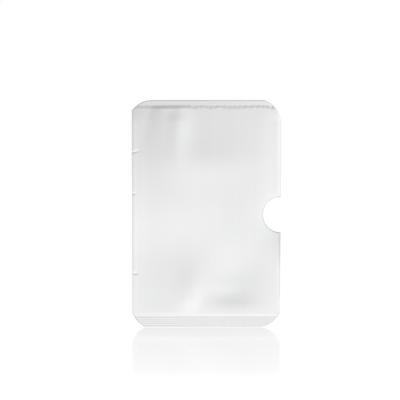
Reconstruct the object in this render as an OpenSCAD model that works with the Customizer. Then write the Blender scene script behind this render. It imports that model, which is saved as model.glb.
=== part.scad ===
// Flat sleeve that screens one payment card, made from a single laminate web.
// The web is folded once, at the left edge, and its two faces are melted together
// across both short ends. The right edge stays open as the mouth, and a half-round
// notch through both walls lets a thumb and a finger reach the card.
// The sleeve lies on its back, and the origin is under its middle. +X points to the mouth,
// +Y to the top edge and +Z out of the front wall. All sizes are in millimetres.

/* [Card] */
// Length of the card that the pocket holds
card_l = 85.6; // [75:0.1:100]
// Width of the card
card_w = 53.98; // [48:0.01:66]
// Thickness of the card
card_t = 0.76; // [0.4:0.02:1.6]

/* [Pocket] */
// Length of the pocket beyond the card, shared by the card's two ends
end_spare = 0.9; // [0.6:0.1:6]
// Depth of the pocket beyond the card's thickness
depth_spare = 0.24; // [0.1:0.02:0.8]
// From the card's near edge to the mouth, with the card pushed home
mouth_margin = 6.4; // [3:0.1:14]
// Length of the rounded shoulder in which a wall rises from a seal
shoulder_l = 0.7; // [0.4:0.05:1.2]
// How far the front wall bows out at the mouth
front_bow = 0.5; // [0:0.1:3]
// How far the back wall bows out at the mouth, where 0 is a flat back
back_bow = 0; // [0:0.1:3]

/* [Laminate] */
// Thickness of the outer film
film_t = 0.025; // [0.01:0.005:0.1]
// Thickness of the metal foil
foil_t = 0.02; // [0.01:0.005:0.1]
// Thickness of the inner liner, which melts to itself in the seals
liner_t = 0.055; // [0.02:0.005:0.15]

/* [Seals] */
// Width of the seal along the top edge
top_seal_w = 2.05; // [1:0.05:3]
// Width of the seal along the bottom edge
bottom_seal_w = 4.45; // [2:0.05:6]
// Gap between the two liners where they leave a seal
crotch = 0.02; // [0.01:0.01:0.1]

/* [Die cut] */
// Radius of the punch that rounds the four corners
corner_r = 10; // [8:0.5:14]
// How far the top left punch stands outwards of its true place, sideways and upwards
top_left_miss = [1.65, 0]; // [0:0.05:2]
// The same for the top right corner
top_right_miss = [0, 0.45]; // [0:0.05:2]
// The same for the bottom left corner, sideways and downwards
bottom_left_miss = [0.4, 1.05]; // [0:0.05:2]
// The same for the bottom right corner, sideways and downwards
bottom_right_miss = [0.4, 0.2]; // [0:0.05:2]
// Radius of the thumb notch
notch_r = 7.3; // [4:0.1:12]
// From the middle of the sleeve down to the notch's centre
notch_drop = 0.4; // [-5:0.1:5]

/* [Hidden] */

film_colour = [0.80, 0.80, 0.81];
foil_colour = [0.66, 0.67, 0.69];
liner_colour = [0.90, 0.90, 0.91];
seal_colour = [0.84, 0.84, 0.86];

// Depths into the laminate, counted from the face that touches the card.
foil_in = liner_t;
film_in = foil_in + foil_t;
wall_t = film_in + film_t;

// The pocket is a slot for the card, and the fold rolls round half of its depth.
half_slot = (card_t + depth_spare) / 2;
half_crotch = crotch / 2;
fold_reach = half_slot + wall_t;
sleeve_w = fold_reach + card_w + mouth_margin;
mouth_x = sleeve_w / 2;
fold_x = fold_reach - mouth_x;

// Heights up the sleeve, counted from its bottom edge.
low_seal = bottom_seal_w;
high_seal = low_seal + card_l + end_spare;
sleeve_h = high_seal + top_seal_w;
low_shoulder = low_seal + shoulder_l;
high_shoulder = high_seal - shoulder_l;
notch_y = sleeve_h / 2 - notch_drop;

// How high the seals' mid-plane is above what the sleeve lies on.
seal_z = fold_reach + back_bow;

// Centres of the corner arcs, as X and height.
top_left = [corner_r - mouth_x - top_left_miss[0], sleeve_h - corner_r + top_left_miss[1]];
top_right = [mouth_x - corner_r + top_right_miss[0], sleeve_h - corner_r + top_right_miss[1]];
bottom_left = [corner_r - mouth_x - bottom_left_miss[0], corner_r - bottom_left_miss[1]];
bottom_right = [mouth_x - corner_r + bottom_right_miss[0], corner_r - bottom_right_miss[1]];

// How many pieces the shapes are cut into, and how close two rows may come.
panel_cols = 6;
fold_cols = 6;
shoulder_steps = 3;
plain_rows = 5;
corner_step = 10;
notch_step = 15;
least_row = 0.15;
tiny = 0.0001;

// The rest of a circle's radius at a given distance from its centre, by Pythagoras.
function reach(r, away) = sqrt(max(0, r * r - away * away));

// Outline of the die cut: the left and right limits at a height.
function left_limit(y) = max(fold_x,
    y < bottom_left[1] ? bottom_left[0] - reach(corner_r, bottom_left[1] - y)
    : y > top_left[1] ? top_left[0] - reach(corner_r, y - top_left[1])
    : fold_x);
function right_corner(y) = min(mouth_x,
    y < bottom_right[1] ? bottom_right[0] + reach(corner_r, bottom_right[1] - y)
    : y > top_right[1] ? top_right[0] + reach(corner_r, y - top_right[1])
    : mouth_x);
function right_limit(y) = min(right_corner(y), mouth_x - reach(notch_r, y - notch_y));

// Where the corner arcs cut the fold off, at a given X.
function fold_low(x) = bottom_left[1] - reach(corner_r, bottom_left[0] - x);
function fold_high(x) = top_left[1] + reach(corner_r, top_left[0] - x);

// Half the gap between the walls: a quarter-round shoulder lifts it from each seal.
function shoulder(y) =
    let (s = max(0, min(1, min(y - low_seal, high_seal - y) / shoulder_l)))
    reach(1, 1 - s);
function half_gap(y) = half_crotch + (half_slot - half_crotch) * shoulder(y);

// The bow grows from the fold to the mouth, and dies away at both shoulders.
function bow(x, y) =
    let (across = max(0, x - fold_x) / (mouth_x - fold_x))
    let (along = (2 * y - low_shoulder - high_shoulder) / (high_shoulder - low_shoulder))
    max(0, 1 - along * along) * sin(90 * across);

// Heights of the rows. Every change in the outline or the shoulder has a row of its own.
function sorted(v) = len(v) < 2 ? v :
    let (pivot = v[floor(len(v) / 2)])
    concat(sorted([for (a = v) if (a < pivot) a]), [pivot], sorted([for (a = v) if (a > pivot) a]));
function spaced(v) = [for (i = [0 : len(v) - 1]) if (i == 0 || v[i] - v[i - 1] > least_row) v[i]];
function between(low, high, count) = [for (k = [1 : count - 1]) low + (high - low) * k / count];

key_rows = sorted([
    0, low_seal, low_shoulder, fold_low(fold_x),
    bottom_right[1] - reach(corner_r, mouth_x - bottom_right[0]),
    notch_y - notch_r, notch_y + notch_r,
    top_right[1] + reach(corner_r, mouth_x - top_right[0]),
    fold_high(fold_x), high_shoulder, high_seal, sleeve_h
]);
corner_rows = [for (a = [corner_step : corner_step : 90]) corner_r * (1 - cos(a))];
shoulder_rows = [for (k = [1 : shoulder_steps - 1]) shoulder_l * (1 - cos(90 * k / shoulder_steps))];
notch_rows = [for (a = [notch_step - 90 : notch_step : 90 - notch_step]) notch_y + notch_r * sin(a)];
free_rows = concat(
    corner_rows, [for (h = corner_rows) sleeve_h - h], notch_rows,
    between(corner_r, notch_y - notch_r, plain_rows),
    between(notch_y + notch_r, sleeve_h - corner_r, plain_rows)
);
fine_rows = concat([for (h = shoulder_rows) low_seal + h], [for (h = shoulder_rows) high_seal - h]);
firm_rows = sorted(concat(key_rows, fine_rows));
clear_rows = [for (y = free_rows) if (min([for (k = firm_rows) abs(k - y)]) > least_row) y];
rows = sorted(concat(firm_rows, spaced(sorted(clear_rows))));

function row_at(y) = [for (i = [0 : len(rows) - 1]) if (abs(rows[i] - y) < tiny) i][0];
last_row = len(rows) - 1;
low_seal_row = row_at(low_seal);
high_seal_row = row_at(high_seal);
low_shoulder_row = row_at(low_shoulder);
high_shoulder_row = row_at(high_shoulder);
fold_low_row = row_at(fold_low(fold_x));
fold_high_row = row_at(fold_high(fold_x));

// Columns run from the mouth over the front, round the fold and over the back to the mouth.
fold_col = panel_cols;
back_col = panel_cols + fold_cols;
last_col = back_col + panel_cols;

// A point of the folded web: its row, its column and its depth into the laminate.
function wall_point(r, share, depth, side, height) =
    let (y = rows[r])
    let (x = right_limit(y) + (left_limit(y) - right_limit(y)) * share)
    [x, y, side * (half_gap(y) + height * bow(x, y) + depth)];
function fold_point(r, share, depth) =
    let (turn = 180 * share)
    let (x = fold_x - (half_slot + depth) * sin(turn))
    let (v = (rows[r] - fold_low(fold_x)) / (fold_high(fold_x) - fold_low(fold_x)))
    let (y = fold_low(x) + (fold_high(x) - fold_low(x)) * max(0, min(1, v)))
    [x, y, (half_gap(y) + depth) * cos(turn)];
function web_point(r, c, depth) =
    c <= fold_col ? wall_point(r, c / panel_cols, depth, 1, front_bow)
    : c >= back_col ? wall_point(r, (last_col - c) / panel_cols, depth, -1, back_bow)
    : fold_point(r, (c - fold_col) / fold_cols, depth);

// The corner arcs leave the fold only between two rows, so its cells are missing elsewhere.
function in_web(r, c) = c < fold_col || c >= back_col || (r >= fold_low_row && r < fold_high_row);

// A ply: the part of the web in a block of rows and columns, between two depths.
module ply(first_row, end_row, first_col, end_col, inner, outer) {
    across = end_col - first_col + 1;
    layer = across * (end_row - first_row + 1);
    function has(r, c) = r >= first_row && r < end_row && c >= first_col && c < end_col && in_web(r, c);
    function spot(r, c, level) = (r - first_row) * across + c - first_col + level * layer;
    function quad(a, b, c, d) = [[a, b, c], [a, c, d]];
    function rim(r1, c1, r2, c2) = quad(
        spot(r1, c1, 0), spot(r2, c2, 0), spot(r2, c2, 1), spot(r1, c1, 1)
    );
    function cell(r, c) = concat(
        quad(spot(r, c, 1), spot(r, c + 1, 1), spot(r + 1, c + 1, 1), spot(r + 1, c, 1)),
        quad(spot(r, c, 0), spot(r + 1, c, 0), spot(r + 1, c + 1, 0), spot(r, c + 1, 0)),
        has(r - 1, c) ? [] : rim(r, c, r, c + 1),
        has(r, c + 1) ? [] : rim(r, c + 1, r + 1, c + 1),
        has(r + 1, c) ? [] : rim(r + 1, c + 1, r + 1, c),
        has(r, c - 1) ? [] : rim(r + 1, c, r, c)
    );
    cells = [for (r = [first_row : end_row - 1], c = [first_col : end_col - 1]) if (has(r, c)) cell(r, c)];
    translate([0, -sleeve_h / 2, seal_z])
        polyhedron(
            points = [
                for (depth = [inner, outer], r = [first_row : end_row], c = [first_col : end_col])
                    web_point(r, c, depth)
            ],
            faces = [for (faces = cells, face = faces) face]
        );
}

// A seal: the two liners melted into one band between two rows.
module seal_band(first_row, end_row) {
    heights = [for (r = [first_row : end_row]) rows[r]];
    count = len(heights);
    left_edge = [for (y = heights) [left_limit(y), y]];
    right_edge = [for (k = [1 : count]) [right_limit(heights[count - k]), heights[count - k]]];
    translate([0, -sleeve_h / 2, seal_z])
        linear_extrude(2 * (half_crotch + liner_t), center = true)
            polygon(concat(left_edge, right_edge));
}

module front_film() {
    color(film_colour) ply(low_shoulder_row, high_shoulder_row, 0, fold_col, film_in, wall_t);
}

module back_film() {
    color(film_colour) ply(low_shoulder_row, high_shoulder_row, back_col, last_col, film_in, wall_t);
}

module fold_film() {
    color(film_colour) ply(fold_low_row, fold_high_row, fold_col, back_col, film_in, wall_t);
}

// A margin is the film over a seal and its shoulder, on the front and on the back.
module margin_film(first_row, end_row) {
    color(film_colour) {
        ply(first_row, end_row, 0, fold_col, film_in, wall_t);
        ply(first_row, end_row, back_col, last_col, film_in, wall_t);
    }
}

module top_margin_film() {
    margin_film(high_shoulder_row, last_row);
}

module bottom_margin_film() {
    margin_film(0, low_shoulder_row);
}

module foil_shield() {
    color(foil_colour) ply(0, last_row, 0, last_col, foil_in, film_in);
}

module inner_liner() {
    color(liner_colour) ply(low_seal_row, high_seal_row, 0, last_col, 0, foil_in);
}

module top_seal() {
    color(seal_colour) seal_band(high_seal_row, last_row);
}

module bottom_seal() {
    color(seal_colour) seal_band(0, low_seal_row);
}

front_film();
back_film();
fold_film();
top_margin_film();
bottom_margin_film();
foil_shield();
inner_liner();
top_seal();
bottom_seal();
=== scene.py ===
# %% [markdown]
# # A foil sleeve for one payment card
# The real thing is one laminated sheet: a satin film outside, a metal foil in the middle and a soft
# plastic liner inside. It is folded once at the left edge, melted shut across both short ends, and
# punched at its corners and at the thumb notch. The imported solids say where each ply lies. This
# script makes the same plies again as fine surfaces, with the dents, creases and rolled cut edges
# that light shows up on foil, and gives each ply its finish.
#
# The sleeve lies on its back: +X points to the open mouth, +Y to the top edge and +Z out of the
# front wall. Shapes are worked out in millimetres and put into the meshes in metres.

import math

import bpy
import numpy as np
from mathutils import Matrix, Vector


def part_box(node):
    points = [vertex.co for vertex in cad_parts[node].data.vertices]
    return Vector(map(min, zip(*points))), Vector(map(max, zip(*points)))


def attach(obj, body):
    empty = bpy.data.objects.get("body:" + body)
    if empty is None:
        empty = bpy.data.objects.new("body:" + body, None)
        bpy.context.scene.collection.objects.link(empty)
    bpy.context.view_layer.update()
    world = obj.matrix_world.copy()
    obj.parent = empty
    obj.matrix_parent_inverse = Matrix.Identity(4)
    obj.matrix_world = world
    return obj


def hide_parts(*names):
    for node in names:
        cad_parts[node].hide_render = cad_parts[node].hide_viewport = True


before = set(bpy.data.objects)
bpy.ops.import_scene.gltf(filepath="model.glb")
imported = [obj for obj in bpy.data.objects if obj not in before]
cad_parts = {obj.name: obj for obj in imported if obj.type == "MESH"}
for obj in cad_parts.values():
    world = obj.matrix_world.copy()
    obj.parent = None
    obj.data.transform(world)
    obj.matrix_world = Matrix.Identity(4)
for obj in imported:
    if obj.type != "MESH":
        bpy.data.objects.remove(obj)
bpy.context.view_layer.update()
MM = 0.001

# %% [markdown]
# ## Sizes
# The places of the seals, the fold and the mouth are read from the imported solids, so the fine
# surfaces can't drift away from them. What a box can't tell, such as a punch's radius or a ply's
# thickness, is written down again here.

# %% Read the main sizes from the solids


def edge(node, axis, high):
    """One side of a node's box in millimetres: axis 0, 1 or 2, and the high or the low side."""
    low_corner, high_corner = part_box(node)
    return (high_corner if high else low_corner)[axis] / MM


BOTTOM = edge("bottom_seal", 1, False)
TOP = edge("top_seal", 1, True)
LOW_SEAL = edge("bottom_seal", 1, True)
HIGH_SEAL = edge("top_seal", 1, False)
LOW_SHOULDER = edge("front_film", 1, False)
HIGH_SHOULDER = edge("front_film", 1, True)
FOLD_X = edge("front_film", 0, False)
MOUTH_X = edge("front_film", 0, True)
SEAL_Z = (edge("bottom_seal", 2, False) + edge("bottom_seal", 2, True)) / 2
print(f"seals end at {LOW_SEAL:.2f} and {HIGH_SEAL:.2f}, fold at {FOLD_X:.2f}, mouth at {MOUTH_X:.2f}")

# %% Sizes that the boxes can't tell
# Ply thicknesses from outside in, and how far from the pocket the foil and the film start
FILM_T, FOIL_T, LINER_T = 0.025, 0.020, 0.055
FOIL_IN = LINER_T
FILM_IN = LINER_T + FOIL_T
WALL_T = LINER_T + FOIL_T + FILM_T
# Half the gap between the walls in the pocket and at the foot of each seal
HALF_SLOT = 0.5
HALF_CROTCH = 0.01
CORNER_R = 10.0
NOTCH_R = 7.3
NOTCH_Y = -0.4
# Centres of the corner punches. Where a place ends in a bare number, the punch sat off by that much
TOP_LEFT = (CORNER_R - MOUTH_X - 1.65, TOP - CORNER_R)
TOP_RIGHT = (MOUTH_X - CORNER_R, TOP - CORNER_R + 0.45)
BOTTOM_LEFT = (CORNER_R - MOUTH_X - 0.4, BOTTOM + CORNER_R - 1.05)
BOTTOM_RIGHT = (MOUTH_X - CORNER_R + 0.4, BOTTOM + CORNER_R - 0.2)
print(f"one wall is {WALL_T:.3f} mm thick, and the pocket {2 * HALF_SLOT:.1f} mm deep at its ends")

# %% [markdown]
# ## The die-cut outline
# A corner punch and a notch punch cut the real sleeve after it is sealed. The outline is therefore
# not a list of points but two functions that say how far left and how far right the sleeve reaches
# at a height. Every ply uses the same two, as every ply is cut by the same punch. A Boolean cut would
# leave long thin triangles at the punch, while a grid whose sides follow the outline shades evenly.

# %% Outline functions


def reach(radius, away):
    """Half a circle's width so far from its centre: the root of radius squared less distance squared."""
    return np.sqrt(np.maximum(0.0, radius**2 - away**2))


def left_limit(y):
    """The fold line, or the corner arc where it cuts further in."""
    low = BOTTOM_LEFT[0] - reach(CORNER_R, np.minimum(0.0, y - BOTTOM_LEFT[1]))
    high = TOP_LEFT[0] - reach(CORNER_R, np.maximum(0.0, y - TOP_LEFT[1]))
    arcs = np.where(y < BOTTOM_LEFT[1], low, np.where(y > TOP_LEFT[1], high, FOLD_X))
    return np.maximum(FOLD_X, arcs)


def right_corner(y):
    """The mouth line, or the corner arc where it cuts further in."""
    low = BOTTOM_RIGHT[0] + reach(CORNER_R, np.minimum(0.0, y - BOTTOM_RIGHT[1]))
    high = TOP_RIGHT[0] + reach(CORNER_R, np.maximum(0.0, y - TOP_RIGHT[1]))
    arcs = np.where(y < BOTTOM_RIGHT[1], low, np.where(y > TOP_RIGHT[1], high, MOUTH_X))
    return np.minimum(MOUTH_X, arcs)


def right_limit(y):
    """The corner outline, less the half-round notch at the mouth."""
    return np.minimum(right_corner(y), MOUTH_X - reach(NOTCH_R, y - NOTCH_Y))


def fold_low(x):
    """The height at which the bottom left arc cuts the fold off, at a given x."""
    return BOTTOM_LEFT[1] - reach(CORNER_R, BOTTOM_LEFT[0] - x)


def fold_high(x):
    """The height at which the top left arc cuts the fold off, at a given x."""
    return TOP_LEFT[1] + reach(CORNER_R, TOP_LEFT[0] - x)


print(f"the fold runs from y {float(fold_low(FOLD_X)):.2f} to {float(fold_high(FOLD_X)):.2f}")

# %% [markdown]
# A punch doesn't cut cleanly at right angles: it drags the edge a little way with it. That rolled
# edge is a hair wide, but on foil it is the bright or dark line that draws the outline. To roll the
# edge, each point has to know how far it is from the cut.

# %% Distance from the cut


FAR_INSIDE = 99.0


def from_arc(x, y, centre, right, up):
    """Distance inside a corner arc, in the arc's own quarter: the radius less the distance to its centre."""
    quarter = (right * (x - centre[0]) > 0) & (up * (y - centre[1]) > 0)
    away = np.hypot(x - centre[0], y - centre[1])
    return np.where(quarter, CORNER_R - away, FAR_INSIDE)


def from_cut(x, y):
    """Distance to the nearest cut: the least of those to the straight edges, the arcs and the notch."""
    edges = [TOP - y, y - BOTTOM, MOUTH_X - x]
    edges.append(np.hypot(x - MOUTH_X, y - NOTCH_Y) - NOTCH_R)
    edges.append(from_arc(x, y, TOP_LEFT, -1, 1))
    edges.append(from_arc(x, y, TOP_RIGHT, 1, 1))
    edges.append(from_arc(x, y, BOTTOM_LEFT, -1, -1))
    edges.append(from_arc(x, y, BOTTOM_RIGHT, 1, -1))
    return np.maximum(0.0, np.minimum.reduce(edges))


def eased(t):
    """A smooth rise from 0 to 1 while t does the same: three t squared minus two t cubed."""
    t = np.clip(t, 0.0, 1.0)
    return t * t * (3 - 2 * t)


LOWER_CORNER_Y, LOWER_CORNER_FADE = -36, 4


def below_notch(y):
    """1 along the mouth's lower half and 0 at the notch and the lower corner."""
    return eased(NOTCH_Y - NOTCH_R - y) * eased((y - LOWER_CORNER_Y) / LOWER_CORNER_FADE)


# The painted edge shade's width and its soft part, its strength by place, and the strength, place and width
# of the painted shade below the notch
EDGE_SHADE_W, EDGE_SHADE_FADE = 0.25, 0.12
PUNCHED_SHADE, MOUTH_SHADE, LOW_MOUTH_SHADE, TOP_SHADE = 1.0, 0.4, 0.15, 0.2
SHADED_FOOT_H = 6
LIP_SHADE, LIP_SHADE_IN, LIP_SHADE_W = 0.35, 0.52, 0.17


# Painted shade: the film's colour is darkened along the cuts, most at the notch and the foot, and in a streak
# below the notch.
def painted_cut_shade(x, y):
    """The share of painted shade: a dark grey line a hair's breadth wide along the cuts, for the cut edges'
    shade, and a dark streak below the notch, for the lip's shade.
    """
    at_notch = np.hypot(x - MOUTH_X, y - NOTCH_Y) < NOTCH_R + EDGE_SHADE_W
    at_foot = y < BOTTOM + SHADED_FOOT_H
    at_mouth = MOUTH_X - x < EDGE_SHADE_W
    shares = [PUNCHED_SHADE, MOUTH_SHADE, LOW_MOUTH_SHADE]
    share = np.select([at_notch | at_foot, at_mouth & (y > NOTCH_Y), at_mouth], shares, TOP_SHADE)
    line = share * np.clip((EDGE_SHADE_W - from_cut(x, y)) / EDGE_SHADE_FADE, 0.0, 1.0)
    lip_shade = LIP_SHADE * np.exp(-(((MOUTH_X - x - LIP_SHADE_IN) / LIP_SHADE_W) ** 2)) * below_notch(y)
    return np.maximum(line, lip_shade)


# %% [markdown]
# ## The shape of the walls
# Between the seals the two walls part round the card's space. With a card inside, the front wall
# bows out towards the mouth, where nothing holds it. Empty, as here, it sinks back instead. An empty
# foil sleeve is never flat: the foil takes every knock and keeps it. Each dent below is a smooth
# hollow or swelling, placed where the photograph is lighter or darker than a flat wall.
#
# A cloth simulation would make dents of its own choosing. A sum of formulas puts each one where it
# belongs, and gives the same wall each time.

# %% Dents of the front wall: x, y, half width, half height, turn in degrees, and how far it stands out
FRONT_DENTS = {
    "hollow at the notch": (32, -3, 8, 9, 0, -0.5),
    "wall falling to the upper mouth": (31, 20, 6, 20, 0, -0.3),
    "ridge along the fold": (-30, 12, 5, 30, 0, 0.25),
    "swelling under the top seal": (-12, 34, 4, 12, 0, 0.25),
    "swelling above the middle": (0, 21, 18, 8, 0, 0.2),
    "broad hollow below the middle": (-8, -14, 22, 15, 0, -0.45),
    "hollow above the bottom seal": (12, -26, 10, 11, 0, -0.45),
    "crest above the bottom seal": (-6, -32, 5, 10, -10, 0.15),
    "dip beside the bottom seal": (9, -33, 9, 3, 0, -0.08),
}
for what, dent in FRONT_DENTS.items():
    print(f"{what}: {dent[5]:+.2f} mm over {2 * dent[2]:.0f} by {2 * dent[3]:.0f} mm")

# %% Nicks in the fold and puckers beside the seals, in the same six numbers
NICKS = {
    "upper nick": (-29.6, 25.3, 2.1, 0.42, 13, -0.065),
    "middle nick": (-29.8, 8.3, 0.9, 0.40, 8, -0.060),
    "lower nick": (-29.2, -24.5, 0.9, 0.45, 0, -0.090),
    "pucker at the top right": (26.2, 43.9, 1.3, 0.5, -32, -0.045),
    "pinch in the top crease": (-9.6, 43.3, 0.7, 0.35, 0, 0.020),
}

# %% Height of the dents


def swelling(x, y, dent):
    """A bell: its height times e to the minus of the squared distance from its middle, in half widths."""
    x0, y0, half_w, half_h, turn, height = dent
    c, s = math.cos(math.radians(turn)), math.sin(math.radians(turn))
    along = ((x - x0) * c + (y - y0) * s) / half_w
    across = (-(x - x0) * s + (y - y0) * c) / half_h
    return height * np.exp(-(along**2) - across**2)


HELD_L = 7.0


def held_down(y):
    """0 at the two seals, which hold the wall flat, and 1 past a held length, with a smooth rise."""
    return eased(np.minimum(y - LOW_SEAL, HIGH_SEAL - y) / HELD_L)


def front_dents(x, y):
    """The dents, faded out towards the seals, and the small nicks as they are."""
    dents = sum(swelling(x, y, dent) for dent in FRONT_DENTS.values())
    nicks = sum(swelling(x, y, nick) for nick in NICKS.values())
    return held_down(y) * dents + nicks


BACK_RISE = 0.03


def back_dents(x, y):
    """Two crossing low waves, turned inwards only, so that the back still rests on its flat."""
    wave = np.sin(0.11 * x + 0.05 * y + 0.4) * np.sin(0.083 * y - 0.03 * x + 1.1)
    return held_down(y) * BACK_RISE * np.maximum(0.0, wave) ** 2


# %% Shoulders, sinking and the two walls
# How long the shoulders are: the top one, the bottom one, its sharp right part, and the top's unevenness
TOP_L, SHOULDER_L, SHARP_L, UNEVEN = 1.5, 1.15, 0.6, 0.35
# How deep the wall lies down beside each seal, and how far from the seal that reaches
TOP_SAG, TOP_REACH = 0.40, 28.0
BOTTOM_SAG, BOTTOM_REACH = 0.26, 22.0
# The puffed places at the seals' left parts: where each side starts in x, over how much it fades, and its fan
PUFF_RIGHT, PUFF_RIGHT_FADE = -12, 8
PUFF_LEFT, PUFF_LEFT_FADE = -17, 6
LOW_PUFF_RIGHT, LOW_PUFF_RIGHT_FADE = -13, 10
FAN = 0.3
# How far the empty front wall sinks in the middle of the mouth
FRONT_SINK = 0.35


def shoulders(x, y):
    """How far each end of the pocket has opened, 0 at its seal and 1 past its shoulder, on a smooth S."""
    to_the_right = eased((x - PUFF_RIGHT) / PUFF_RIGHT_FADE)
    uneven = UNEVEN * np.sin(x / 1.7 + 2 * np.sin(x / 5.3)) * to_the_right
    top = eased((HIGH_SEAL - y) / (TOP_L + uneven))
    bottom = eased((y - LOW_SEAL) / (SHOULDER_L + (SHARP_L - SHOULDER_L) * to_the_right))
    return top, bottom


def half_gap(x, y):
    """Half the gap between the walls: it opens from the crotch of each seal to half of the slot."""
    return HALF_CROTCH + (HALF_SLOT - HALF_CROTCH) * np.minimum(*shoulders(x, y))


def sag(x, y):
    """How far the front wall lies down beside the seals, less and less away from them. A puffed place is
    left at each seal's left part. Its sides fan out: each is wider by FAN times the distance to the seal."""
    top, bottom = shoulders(x, y)
    from_top, from_bottom = np.maximum(0.0, HIGH_SEAL - y), np.maximum(0.0, y - LOW_SEAL)
    beside_top = eased((x - PUFF_RIGHT) / (PUFF_RIGHT_FADE + FAN * from_top))
    beside_top = beside_top + eased((PUFF_LEFT - x) / (PUFF_LEFT_FADE + FAN * from_top))
    beside_bottom = eased((x - LOW_PUFF_RIGHT) / (LOW_PUFF_RIGHT_FADE + FAN * from_bottom))
    at_top = TOP_SAG * beside_top * top * np.exp(-from_top / TOP_REACH)
    return at_top + BOTTOM_SAG * beside_bottom * bottom * np.exp(-from_bottom / BOTTOM_REACH)


def sunk(x, y):
    """The empty wall's sinking: a quarter sine from fold to mouth, times a parabola between the shoulders."""
    across = np.clip((x - FOLD_X) / (MOUTH_X - FOLD_X), 0.0, 1.0)
    along = (2 * y - LOW_SHOULDER - HIGH_SHOULDER) / (HIGH_SHOULDER - LOW_SHOULDER)
    return np.maximum(0.0, 1 - along**2) * np.sin(across * math.pi / 2)


# %% Rolled edges, marks of the press and the lean of the seals
ROLL_W = 0.42
ROLL_DEPTH, TOP_ROLL_DEPTH = 0.03, 0.08
TOP_ROLL_Y, TOP_ROLL_FADE = 44.5, 1.5
# The mouth's curl: its width, and its depth at heights from the foot to the top
CURL_W = 2.0
CURL = (
    (-42, 0.0), (-37, 0.04), (-24, 0.04), (-17, -0.06), (-10, -0.05), (-3, 0.05),
    (8, 0.12), (14, 0.20), (33, 0.20), (40, 0.16), (45, 0.06),
)
FOLD_SWELL, FOLD_SWELL_W = 0.05, 1.2
LIP, LIP_IN, LIP_W = 0.02, 1.6, 0.6
# The press's ribs and groove in the bottom seal: depth, pitch or width, and where to the right each fades out
RIB_DEPTH, RIB_PITCH, RIB_END, RIB_FADE, RIB_EDGE = 0.007, 0.85, -2, 14, 0.5
GROOVE_DEPTH, GROOVE_IN, GROOVE_W, GROOVE_END, GROOVE_FADE = 0.012, 0.25, 0.3, -10, 8
# Crinkles along the top crease, whose pitch drifts, and the faint line that a die left up the wall
CRINKLE_DEPTH, CRINKLE_PITCH, CRINKLE_IN, CRINKLE_W = 0.03, 2.3, 0.8, 0.8
CRINKLE_START, CRINKLE_FADE = -10, 3
CRINKLE_DRIFT, CRINKLE_DRIFT_L = 1.3, 1.9
DIE_LINE_X, DIE_LINE_DEPTH, DIE_LINE_W, DIE_LINE_TURNS = -11.2, 0.005, 1.7, 3.3
LEAN_LEFT, LEAN_RIGHT = 0.026, 0.047
TOP_LEAN = 0.02


def rolled(x, y):
    """How far a cut edge is dragged back: the depth times the square of what is left of the roll."""
    t = np.clip(1 - from_cut(x, y) / ROLL_W, 0.0, 1.0)
    depth = ROLL_DEPTH + (TOP_ROLL_DEPTH - ROLL_DEPTH) * eased((y - TOP_ROLL_Y) / TOP_ROLL_FADE)
    return depth * t * t


def curled(x, y):
    """How far the front wall curls back along the mouth, by a depth that changes with the height, and drops
    at a small lip below the notch, less the fold's swelling."""
    heights, depths = zip(*CURL)
    t = np.clip(1 - (MOUTH_X - x) / CURL_W, 0.0, 1.0)
    beside_fold = FOLD_SWELL * np.exp(-(((x - FOLD_X) / FOLD_SWELL_W) ** 2)) * held_down(y)
    lip = LIP * eased((x - MOUTH_X + LIP_IN) / LIP_W) * below_notch(y)
    return np.interp(y, heights, depths) * t * t + lip - beside_fold


def pressed(x, y):
    """Marks of the press: sine ribs and a groove in the bottom seal's left part, crinkles along the top
    crease and the die's line. Each fades out by a bell or a smooth step."""
    in_band = eased((LOW_SEAL - y) / RIB_EDGE) * eased((RIB_END - x) / RIB_FADE)
    ribs = RIB_DEPTH * np.sin(2 * math.pi * (y - BOTTOM) / RIB_PITCH) * in_band
    groove_line = np.exp(-(((y - LOW_SEAL + GROOVE_IN) / GROOVE_W) ** 2))
    groove = GROOVE_DEPTH * groove_line * eased((GROOVE_END - x) / GROOVE_FADE)
    crease_line = np.exp(-(((y - HIGH_SEAL + CRINKLE_IN) / CRINKLE_W) ** 2))
    near_crease = crease_line * eased((x - CRINKLE_START) / CRINKLE_FADE)
    drift = CRINKLE_DRIFT * np.sin(x / CRINKLE_DRIFT_L)
    crinkles = CRINKLE_DEPTH * np.sin(2 * math.pi * x / CRINKLE_PITCH + drift) * near_crease
    die_bell = np.exp(-(((x - DIE_LINE_X) / DIE_LINE_W) ** 2))
    die_line = DIE_LINE_DEPTH * np.cos(DIE_LINE_TURNS * (x - DIE_LINE_X)) * die_bell
    return ribs - groove + crinkles - die_line


def tilted(x, y):
    """Both seals lean forward a little towards their cut edges, and more on the right."""
    across = (x - FOLD_X) / (MOUTH_X - FOLD_X)
    low = (LEAN_LEFT + (LEAN_RIGHT - LEAN_LEFT) * across) * np.maximum(0.0, LOW_SEAL - y)
    return low + TOP_LEAN * across * np.maximum(0.0, y - HIGH_SEAL)


def front_z(x, y, depth):
    """Height of a surface of the front wall, its depth counted outwards from the pocket."""
    stand = half_gap(x, y) - sag(x, y) - FRONT_SINK * sunk(x, y) + front_dents(x, y) + pressed(x, y)
    return SEAL_Z + stand + depth - rolled(x, y) - curled(x, y) + tilted(x, y)


def back_z(x, y, depth):
    """Height of a surface of the back wall, its depth counted outwards, which is down."""
    in_margin = np.clip(1 - np.minimum(y - LOW_SEAL, HIGH_SEAL - y) / SHOULDER_L, 0.0, 1.0)
    return SEAL_Z - half_gap(x, y) - depth + back_dents(x, y) - rolled(x, y) * in_margin + tilted(x, y)


# %% Room left in the pocket
heights, shares = np.meshgrid(np.linspace(LOW_SEAL + 1, HIGH_SEAL - 1, 200), np.linspace(0, 1, 120))
places = left_limit(heights) + (right_limit(heights) - left_limit(heights)) * shares
room = front_z(places, heights, 0.0) - back_z(places, heights, 0.0)
print(f"the empty walls are {room.min():.2f} to {room.max():.2f} mm apart, {room.mean():.2f} on average")

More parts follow.
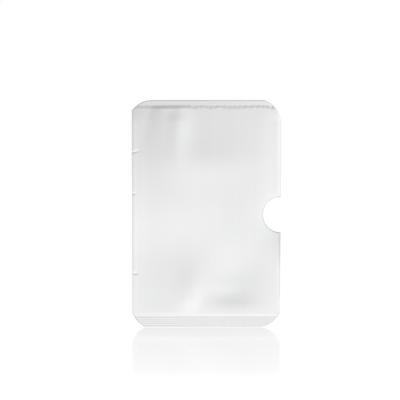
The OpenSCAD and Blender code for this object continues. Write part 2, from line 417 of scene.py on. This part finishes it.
# %% [markdown]
# ## Rows and columns
# A surface is a grid. Its rows are heights and its columns are shares of the way from the right
# limit to the left limit, so the grid's own edge follows the punch exactly. Rows and columns stand
# closer together where the surface turns quickly: at the cut edges, at the shoulders, at the ends
# of the arcs and at the creases.

# %% Rows and columns


def merged(*groups, least):
    """The first group whole, then one value of the others in each step, with none close to the first's."""
    fixed = np.asarray(groups[0], float)
    loose = np.concatenate([np.asarray(g, float) for g in groups[1:]])
    away = np.abs(loose[:, None] - fixed[None, :]).min(axis=1)
    loose = np.sort(loose[(away > least) & (loose > fixed.min()) & (loose < fixed.max())])
    bins = np.floor(loose / least)
    return np.sort(np.concatenate([fixed, loose[np.unique(bins, return_index=True)[1]]]))


FOLD_ENDS = [float(fold_low(FOLD_X)), float(fold_high(FOLD_X))]
NOTCH_ENDS = [NOTCH_Y - NOTCH_R, NOTCH_Y + NOTCH_R]
KEY_ROWS = np.array([BOTTOM, LOW_SEAL, LOW_SHOULDER, *FOLD_ENDS, *NOTCH_ENDS, HIGH_SHOULDER, HIGH_SEAL, TOP])
# Heights about which the rows beside the fold's three nicks stand closer
CREASES = (25.3, 8.3, -24.4)
# Degrees from one row to the next on an arc, and how far rows stay fine beside a seal and a fold crease
ROW_TURN = 3
SHOULDER_ZONE = 1.6
CREASE_ZONE = 0.8
EDGE_ZONE = 2.5


def row_heights(step, fine):
    """Even rows, with fine ones at the edges, seals and fold creases, and rows at even turns of the arcs."""
    even = np.arange(BOTTOM, TOP, step)
    arcs = CORNER_R * (1 - np.cos(np.radians(np.arange(4, 91, ROW_TURN))))
    notch = NOTCH_Y + NOTCH_R * np.sin(np.radians(np.arange(-87, 88, ROW_TURN)))
    near = np.arange(fine, SHOULDER_ZONE, fine)
    groups = [BOTTOM + near, TOP - near, LOW_SEAL + near, HIGH_SEAL - near]
    groups += [np.arange(BOTTOM, LOW_SEAL, fine * 1.3), HIGH_SEAL - near - 0.5, LOW_SEAL + near + 0.5]
    groups += [np.arange(c - CREASE_ZONE, c + CREASE_ZONE, fine * 1.3) for c in CREASES]
    return merged(KEY_ROWS, even, BOTTOM + arcs, TOP - arcs, notch, *groups, least=fine * 0.8)


def column_shares(step, fine):
    """Shares from 0 at the right to 1 at the left, even in the middle and finer near both ends."""
    width = MOUTH_X - FOLD_X
    near = np.arange(0, EDGE_ZONE, fine)
    even = np.arange(EDGE_ZONE, width - EDGE_ZONE, step)
    return np.concatenate([near, even, width - near[::-1]]) / width


FINE_ROWS = row_heights(0.5, 0.095)
FINE_COLS = column_shares(0.56, 0.095)
PLAIN_ROWS = row_heights(1.05, 0.2)
PLAIN_COLS = column_shares(1.25, 0.35)
print(f"fine grid {len(FINE_ROWS)} x {len(FINE_COLS)}, plain grid {len(PLAIN_ROWS)} x {len(PLAIN_COLS)}")

# %% [markdown]
# ## From a grid to a closed ply
# A ply has two faces and a rim. Both faces are the same grid at two depths. The rim joins their
# edges, and the edges next to it are marked sharp, because a cut edge isn't rounded over. A Solidify
# modifier could give a thickness too, but grids at exact depths let neighbouring plies touch.

# %% Make a closed ply


def ply_mesh(outer, inner, flip=False):
    """A closed ply's points and quads: the outer grid, the inner grid turned over, and a rim between them."""
    rows, cols = outer.shape[:2]
    number = np.arange(rows * cols).reshape(rows, cols)
    a, b, c, d = number[:-1, :-1], number[:-1, 1:], number[1:, 1:], number[1:, :-1]
    top = np.stack([a, b, c, d], -1).reshape(-1, 4)
    under = np.stack([a, d, c, b], -1).reshape(-1, 4) + rows * cols
    loop = np.concatenate([number[0, :-1], number[:-1, -1], number[-1, :0:-1], number[:0:-1, 0]])
    ahead = np.roll(loop, -1)
    rim = np.stack([ahead, loop, loop + rows * cols, ahead + rows * cols], -1)
    faces = np.concatenate([top, under, rim])
    if flip:
        faces = faces[:, ::-1]
    points = np.concatenate([outer.reshape(-1, 3), inner.reshape(-1, 3)])
    border = np.zeros(rows * cols, bool)
    border[loop] = True
    return points, faces, np.tile(border, 2)


def make_piece(name, parts):
    """One object from one or more closed plies, in metres, smooth on its faces and sharp at its cut edges."""
    points, faces, borders, levels = [], [], [], []
    start = 0
    for p, f, border in parts:
        points.append(p)
        faces.append(f + start)
        borders.append(border)
        levels.append(np.repeat([2 * len(levels), 2 * len(levels) + 1], len(p) // 2))
        start += len(p)
    points, faces = np.concatenate(points) * MM, np.concatenate(faces)
    border, level = np.concatenate(borders), np.concatenate(levels)
    mesh = bpy.data.meshes.new(name)
    mesh.from_pydata(points.tolist(), [], faces.tolist())
    ends = np.zeros(len(mesh.edges) * 2, np.int32)
    mesh.edges.foreach_get("vertices", ends)
    ends = ends.reshape(-1, 2)
    sharp = border[ends].all(axis=1) & (level[ends[:, 0]] == level[ends[:, 1]])
    mesh.shade_smooth()
    mark = mesh.attributes.new("sharp_edge", "BOOLEAN", "EDGE")
    mark.data.foreach_set("value", sharp)
    # Each point's share of painted edge shade, which darkens the film's colour
    painted_edge_shade = mesh.attributes.new("painted_edge_shade", "FLOAT", "POINT")
    painted_edge_shade.data.foreach_set("value", painted_cut_shade(points[:, 0] / MM, points[:, 1] / MM))
    mesh.update()
    piece = bpy.data.objects.new(name, mesh)
    bpy.context.scene.collection.objects.link(piece)
    print(f"{name}: {len(points)} points, {2 * len(faces)} triangles")
    return piece


# %% Grids of the walls and the fold


def wall_grid(heights, shares, surface, depth):
    """A wall's points: x goes from the right limit to the left by the shares, z by the wall's function."""
    y = heights[:, None] * np.ones_like(shares)[None, :]
    x = right_limit(y) + (left_limit(y) - right_limit(y)) * shares[None, :]
    return np.stack([x, y, surface(x, y, depth)], -1)


def fold_grid(heights, turns, depth):
    """The fold's points: half an ellipse from the front wall to the back, cut off by the corner arcs."""
    turn = (turns * math.pi)[None, :]
    x = (FOLD_X - (HALF_SLOT + depth) * np.sin(turn)) * np.ones_like(heights)[:, None]
    share = ((heights - FOLD_ENDS[0]) / (FOLD_ENDS[1] - FOLD_ENDS[0]))[:, None]
    y = fold_low(x) + (fold_high(x) - fold_low(x)) * share
    at_fold = np.full_like(y, FOLD_X)
    front, back = front_z(at_fold, y, depth), back_z(at_fold, y, depth)
    return np.stack([x, y, (front + back) / 2 + (front - back) / 2 * np.cos(turn)], -1)


def span(values, low, high):
    """The rows from one height to another, both ends included."""
    return values[(values > low - 1e-6) & (values < high + 1e-6)]


TURNS = np.linspace(0.0, 1.0, 21)

# %% [markdown]
# ## Outer film
# The film is what is seen. On the real sleeve it is one sheet; here it is the same five pieces as
# the solids, front, back, fold and the margin over each seal, and their grids share their edge rows.

# %% Front wall, back wall and fold of the film


def wall_ply(heights, shares, surface, inner, outer):
    """A closed ply of a wall between two depths. The back wall faces down, so its quads are turned over."""
    outer_grid = wall_grid(heights, shares, surface, outer)
    inner_grid = wall_grid(heights, shares, surface, inner)
    return ply_mesh(outer_grid[:, ::-1], inner_grid[:, ::-1], flip=surface is back_z)


body_rows = span(FINE_ROWS, LOW_SHOULDER, HIGH_SHOULDER)
front_film = make_piece("front_film_fine", [wall_ply(body_rows, FINE_COLS, front_z, FILM_IN, WALL_T)])
back_film = make_piece("back_film_fine", [wall_ply(body_rows, PLAIN_COLS, back_z, FILM_IN, WALL_T)])
fold_rows = span(FINE_ROWS, *FOLD_ENDS)
fold_film = make_piece(
    "fold_film_fine",
    [ply_mesh(fold_grid(fold_rows, TURNS, WALL_T), fold_grid(fold_rows, TURNS, FILM_IN), flip=True)],
)

# %% Margins of the film over the two seals


def margin(name, low, high):
    """The film over one seal: a front ply and a back ply."""
    heights = span(FINE_ROWS, low, high)
    front = wall_ply(heights, FINE_COLS, front_z, FILM_IN, WALL_T)
    back = wall_ply(heights, FINE_COLS, back_z, FILM_IN, WALL_T)
    return make_piece(name, [front, back])


top_margin = margin("top_margin_film_fine", HIGH_SHOULDER, TOP)
bottom_margin = margin("bottom_margin_film_fine", BOTTOM, LOW_SHOULDER)

# %% [markdown]
# ## Foil, liner and seals
# Only the cut edges of the foil show. The liner shows inside the mouth and the notch, where the
# back wall's inner face looks out. In the seals the two liners have melted into one band.

# %% Foil and liner


def folded_ply(name, low, high, inner, outer):
    """A ply over the front, round the fold and over the back: three closed grids that meet edge to edge."""
    heights = span(PLAIN_ROWS, low, high)
    folds = span(PLAIN_ROWS, max(low, FOLD_ENDS[0]), min(high, FOLD_ENDS[1]))
    front = wall_ply(heights, FINE_COLS, front_z, inner, outer)
    back = wall_ply(heights, PLAIN_COLS, back_z, inner, outer)
    turn = ply_mesh(fold_grid(folds, TURNS, outer), fold_grid(folds, TURNS, inner), flip=True)
    return make_piece(name, [front, back, turn])


foil = folded_ply("foil_shield_fine", BOTTOM, TOP, FOIL_IN, FILM_IN)
liner = folded_ply("inner_liner_fine", LOW_SEAL, HIGH_SEAL, 0.0, FOIL_IN)

# %% Seals


def seal(name, low, high):
    """A melted band: the space between the front and back foil where the walls are pressed together."""
    heights = span(FINE_ROWS, low, high)
    front = wall_grid(heights, PLAIN_COLS, front_z, FOIL_IN)
    back = wall_grid(heights, PLAIN_COLS, back_z, FOIL_IN)
    return make_piece(name, [ply_mesh(front[:, ::-1], back[:, ::-1])])


top_seal = seal("top_seal_fine", HIGH_SEAL, TOP)
bottom_seal = seal("bottom_seal_fine", BOTTOM, LOW_SEAL)

# %% [markdown]
# ## Finishes
# Foil under a clear satin film is a metal with a slightly blurred reflection. Rolling leaves faint
# lines along the web, the film has a fine grain, and both change the gloss a little from place to
# place. These are noises on Object coordinates, stretched along the sleeve for the rolling lines.

# %% Helpers for node materials


def new_material(name):
    """A material with an empty tree but for its shader and output."""
    material = bpy.data.materials.new(name)
    material.use_nodes = True
    tree = material.node_tree
    shader = tree.nodes["Principled BSDF"]
    return material, tree, shader


def noise(tree, scale, stretch=(1, 1, 1), detail=2.0):
    """A noise on Object coordinates, with so many cells to the metre, stretched by a Mapping node."""
    place = tree.nodes.new("ShaderNodeTexCoord")
    mapping = tree.nodes.new("ShaderNodeMapping")
    mapping.inputs["Scale"].default_value = stretch
    texture = tree.nodes.new("ShaderNodeTexNoise")
    texture.inputs["Scale"].default_value = scale
    texture.inputs["Detail"].default_value = detail
    tree.links.new(place.outputs["Object"], mapping.inputs["Vector"])
    tree.links.new(mapping.outputs["Vector"], texture.inputs["Vector"])
    return texture.outputs["Fac"]


def remap(tree, value, low, high, soft=(0.3, 0.7)):
    """The value, spread from one range to another."""
    node = tree.nodes.new("ShaderNodeMapRange")
    node.inputs["From Min"].default_value, node.inputs["From Max"].default_value = soft
    node.inputs["To Min"].default_value, node.inputs["To Max"].default_value = low, high
    tree.links.new(value, node.inputs["Value"])
    return node.outputs["Result"]


def blend(tree, fac, dark, light):
    """Two colours, mixed by a value."""
    node = tree.nodes.new("ShaderNodeMix")
    node.data_type = "RGBA"
    node.inputs["A"].default_value = (*dark, 1)
    node.inputs["B"].default_value = (*light, 1)
    tree.links.new(fac, node.inputs["Factor"])
    return node.outputs["Result"]


def bumped(tree, shader, value, strength, distance):
    """The value as a fine relief on the shader's normal."""
    node = tree.nodes.new("ShaderNodeBump")
    node.inputs["Strength"].default_value = strength
    node.inputs["Distance"].default_value = distance
    tree.links.new(value, node.inputs["Height"])
    tree.links.new(node.outputs["Normal"], shader.inputs["Normal"])


# %% Silver film
film, tree, shader = new_material("silver_film")
lines = noise(tree, 700, (1.0, 0.012, 1.0), 3.0)
silver = blend(tree, remap(tree, lines, 0, 1), (0.815, 0.817, 0.823), (0.825, 0.827, 0.832))
# Dark grey mixed in by the painted edge shade attribute: painted shade along the cuts and below the notch
painted_edge_shade = tree.nodes.new("ShaderNodeAttribute")
painted_edge_shade.attribute_name = "painted_edge_shade"
edge_shaded = tree.nodes.new("ShaderNodeMix")
edge_shaded.data_type = "RGBA"
edge_shaded.inputs["B"].default_value = (0.44, 0.445, 0.45, 1)
tree.links.new(painted_edge_shade.outputs["Fac"], edge_shaded.inputs["Factor"])
tree.links.new(silver, edge_shaded.inputs["A"])
tree.links.new(edge_shaded.outputs["Result"], shader.inputs["Base Color"])
satin = remap(tree, noise(tree, 60), 0.285, 0.310, (0.2, 0.8))
tree.links.new(satin, shader.inputs["Roughness"])
bumped(tree, shader, noise(tree, 2600), 0.05, 0.00002)
shader.inputs["Metallic"].default_value = 1.0

# %% Foil, liner and seal
foil_finish, tree, shader = new_material("bare_foil")
grey = blend(tree, noise(tree, 900), (0.62, 0.63, 0.65), (0.70, 0.71, 0.73))
tree.links.new(grey, shader.inputs["Base Color"])
shader.inputs["Metallic"].default_value = 1.0
shader.inputs["Roughness"].default_value = 0.3

liner_finish, tree, shader = new_material("milky_liner")
milk = blend(tree, noise(tree, 300), (0.88, 0.88, 0.89), (0.92, 0.92, 0.93))
tree.links.new(milk, shader.inputs["Base Color"])
tree.links.new(remap(tree, noise(tree, 180), 0.42, 0.52), shader.inputs["Roughness"])
bumped(tree, shader, noise(tree, 1500), 0.1, 0.00003)

seal_finish, tree, shader = new_material("melted_seal")
pale = blend(tree, noise(tree, 500), (0.82, 0.82, 0.84), (0.87, 0.87, 0.89))
tree.links.new(pale, shader.inputs["Base Color"])
shader.inputs["Roughness"].default_value = 0.45
print("finishes:", [m.name for m in (film, foil_finish, liner_finish, seal_finish)])

# %% [markdown]
# ## Hand the pieces over
# Each fine piece stands for one imported solid, which it hides, moves with the sleeve's one body and
# gets the finish made for it above.

# %% Dress the frame


def dress(piece, node, material):
    """Gives a piece its finish, hangs it on the sleeve's body and hides the solid it stands for."""
    piece.data.materials.append(material)
    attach(piece, "root")
    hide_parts(node)


dress(front_film, "front_film", film)
dress(back_film, "back_film", film)
dress(fold_film, "fold_film", film)
dress(top_margin, "top_margin_film", film)
dress(bottom_margin, "bottom_margin_film", film)
dress(foil, "foil_shield", foil_finish)
dress(liner, "inner_liner", liner_finish)
dress(top_seal, "top_seal", seal_finish)
dress(bottom_seal, "bottom_seal", seal_finish)

# %% [markdown]
# ## Light
# Metal shows its surroundings. A studio is bright below and to the right, where white cards stand,
# and darker overhead. The world's colour is a function of direction alone, with even steps between
# those, and the camera itself sees plain white. Area lamps would each leave an outline on the foil.

# %% World


def direction_part(tree, axis):
    """One part of the direction that a ray looks in."""
    place = tree.nodes.new("ShaderNodeTexCoord")
    split = tree.nodes.new("ShaderNodeSeparateXYZ")
    tree.links.new(place.outputs["Generated"], split.inputs["Vector"])
    return split.outputs[axis]


def smooth_step(tree, value, low, high, start, end):
    """The value's range from low to high turned into a smooth climb from start to end."""
    node = tree.nodes.new("ShaderNodeMapRange")
    node.interpolation_type = "SMOOTHSTEP"
    for socket, number in zip(("From Min", "From Max", "To Min", "To Max"), (low, high, start, end)):
        node.inputs[socket].default_value = number
    tree.links.new(value, node.inputs["Value"])
    return node.outputs["Result"]


def arithmetic(tree, operation, a, b):
    """A Math node on two values or plain numbers."""
    node = tree.nodes.new("ShaderNodeMath")
    node.operation = operation
    for socket, value in zip(node.inputs, (a, b)):
        if isinstance(value, (int, float)):
            socket.default_value = value
        else:
            tree.links.new(value, socket)
    return node.outputs["Value"]


def ramp(tree, value, stops, top):
    """A value looked up in a list of (place, level), with straight lines between and both ends level."""
    first, last = stops[0][0], stops[-1][0]
    share = arithmetic(tree, "MULTIPLY", arithmetic(tree, "SUBTRACT", value, first), 1 / (last - first))
    node = tree.nodes.new("ShaderNodeValToRGB")
    steps = node.color_ramp
    while len(steps.elements) < len(stops):
        steps.elements.new(0.5)
    for step, (place, level) in zip(steps.elements, stops):
        step.position = (place - first) / (last - first)
        step.color = (level / top, level / top, level / top, 1)
    tree.links.new(share, node.inputs["Fac"])
    return arithmetic(tree, "MULTIPLY", node.outputs["Color"], top)


def by_angle(stops):
    """The stops, with each angle in degrees turned into that part of a direction, which is its sine."""
    return [(math.sin(math.radians(angle)), level) for angle, level in stops]


# Levels by angle: from below to overhead, and what the left and right sides add
UPWARD = [
    (-90, 0.90), (-75, 1.15), (-40, 1.18), (-20, 1.22), (-14, 1.27), (-8, 1.18), (-4, 1.04),
    (0, 0.89), (6, 0.70), (12, 0.64), (28, 0.66), (65, 0.60), (90, 0.60),
]
SIDEWAYS = [
    (-90, -0.30), (-50, 0.05), (-30, -0.14), (-16, -0.16), (-7, -0.11), (0, 0.00),
    (7, 0.11), (16, 0.22), (30, 0.22), (60, 0.15), (90, 0.00),
]
world = bpy.data.worlds.new("studio")
bpy.context.scene.world = world
world.use_nodes = True
tree = world.node_tree
background = tree.nodes["Background"]
upward = ramp(tree, direction_part(tree, "Y"), by_angle(UPWARD), 1.5)
sideways = ramp(tree, direction_part(tree, "X"), by_angle([(a, 0.5 + v) for a, v in SIDEWAYS]), 1.0)
studio = arithmetic(tree, "ADD", upward, arithmetic(tree, "SUBTRACT", sideways, 0.5))
behind = smooth_step(tree, direction_part(tree, "Z"), -0.25, 0.1, 1.0, 0.0)
high_behind = smooth_step(tree, direction_part(tree, "Y"), 0.3, 0.8, 1.0, 0.8)
kept = arithmetic(tree, "MULTIPLY", studio, arithmetic(tree, "SUBTRACT", 1.0, behind))
back_light = arithmetic(tree, "MULTIPLY", high_behind, behind)
level = arithmetic(tree, "ADD", kept, back_light)
path = tree.nodes.new("ShaderNodeLightPath")
seen = arithmetic(tree, "MAXIMUM", level, path.outputs["Is Camera Ray"])
white = arithmetic(tree, "MINIMUM", seen, arithmetic(tree, "SUBTRACT", 2.0, path.outputs["Is Camera Ray"]))
tree.links.new(white, background.inputs["Color"])
print("world made")

# %% [markdown]
# ## The glossy sheet under the sleeve
# In the photograph the sleeve is stood up on a glossy white sheet, which mirrors its foot and fades
# away towards the viewer. Here the sleeve lies on its back, so that sheet is a plane at its bottom
# edge, facing the top edge. It mirrors only at a glancing look, as gloss does, and only near the
# sleeve. It is one-sided, so that it doesn't hide the sleeve from below, and it throws no light.

# %% Glossy sheet
SHEET_HALF = 1.2
SHEET_Y = (BOTTOM - 0.21) * MM
sheet_mesh = bpy.data.meshes.new("glossy_sheet")
corners = np.array([(-1, 0, 1), (1, 0, 1), (1, 0, -1), (-1, 0, -1)]) * SHEET_HALF + (0, SHEET_Y, 0)
sheet_mesh.from_pydata(corners.tolist(), [], [(0, 1, 2, 3)])
sheet = bpy.data.objects.new("glossy_sheet", sheet_mesh)
bpy.context.scene.collection.objects.link(sheet)
sheet.visible_glossy = False
sheet.visible_diffuse = False
gloss, tree, shader = new_material("glossy_white")
tree.nodes.remove(shader)
output = tree.nodes["Material Output"]
glow = tree.nodes.new("ShaderNodeEmission")
glow.inputs["Strength"].default_value = 0.96
chalk = tree.nodes.new("ShaderNodeBsdfDiffuse")
chalk.inputs["Color"].default_value = (0.12, 0.12, 0.12, 1)
white_sheet = tree.nodes.new("ShaderNodeAddShader")
tree.links.new(glow.outputs[0], white_sheet.inputs[0])
tree.links.new(chalk.outputs[0], white_sheet.inputs[1])
mirror = tree.nodes.new("ShaderNodeBsdfAnisotropic")
mirror.inputs["Color"].default_value = (1, 1, 1, 1)
mirror.inputs["Roughness"].default_value = 0.14
facing = tree.nodes.new("ShaderNodeLayerWeight")
glance = smooth_step(tree, facing.outputs["Facing"], 0.6, 0.8, 0.0, 1.0)
place = tree.nodes.new("ShaderNodeTexCoord")
split = tree.nodes.new("ShaderNodeSeparateXYZ")
tree.links.new(place.outputs["Object"], split.inputs["Vector"])
MIRRORED = [(0.0, 0.38), (0.095, 0.2), (0.115, 0.08), (0.122, 0.0)]
near = ramp(tree, split.outputs["Z"], MIRRORED, 1.0)
share = arithmetic(tree, "MULTIPLY", glance, near)
shown = tree.nodes.new("ShaderNodeMixShader")
tree.links.new(share, shown.inputs["Fac"])
tree.links.new(white_sheet.outputs[0], shown.inputs[1])
tree.links.new(mirror.outputs[0], shown.inputs[2])
side = tree.nodes.new("ShaderNodeNewGeometry")
clear = tree.nodes.new("ShaderNodeBsdfTransparent")
one_sided = tree.nodes.new("ShaderNodeMixShader")
tree.links.new(side.outputs["Backfacing"], one_sided.inputs["Fac"])
tree.links.new(shown.outputs[0], one_sided.inputs[1])
tree.links.new(clear.outputs[0], one_sided.inputs[2])
tree.links.new(one_sided.outputs[0], output.inputs["Surface"])
sheet_mesh.materials.append(gloss)
print("sheet faces", [round(v, 2) for v in sheet_mesh.polygons[0].normal])

# %% [markdown]
# ## Camera
# The photograph looks at the front wall from 60 cm away and about four degrees above the middle, so
# the top edge is a little wider than the bottom one. The view is aimed just above the middle of
# the sleeve and to its left, as the photograph is framed.

# %% Camera
AIM = np.array([-2.6, 5.7, 0.9]) * MM
DISTANCE = 0.6
ELEVATION = math.radians(3.9)
FIELD = 0.1637
cam_data = bpy.data.cameras.new("camera")
cam_data.angle = 2 * math.atan(FIELD / 2 / DISTANCE)
camera = bpy.data.objects.new("camera", cam_data)
bpy.context.scene.collection.objects.link(camera)
camera.location = AIM + DISTANCE * np.array([0, math.sin(ELEVATION), math.cos(ELEVATION)])
camera.rotation_euler = (-ELEVATION, 0, 0)
cam_data.clip_start, cam_data.clip_end = 0.01, 10
bpy.context.scene.camera = camera
bpy.context.scene.view_settings.view_transform = "Standard"
print(f"field of view {math.degrees(cam_data.angle):.2f} degrees")
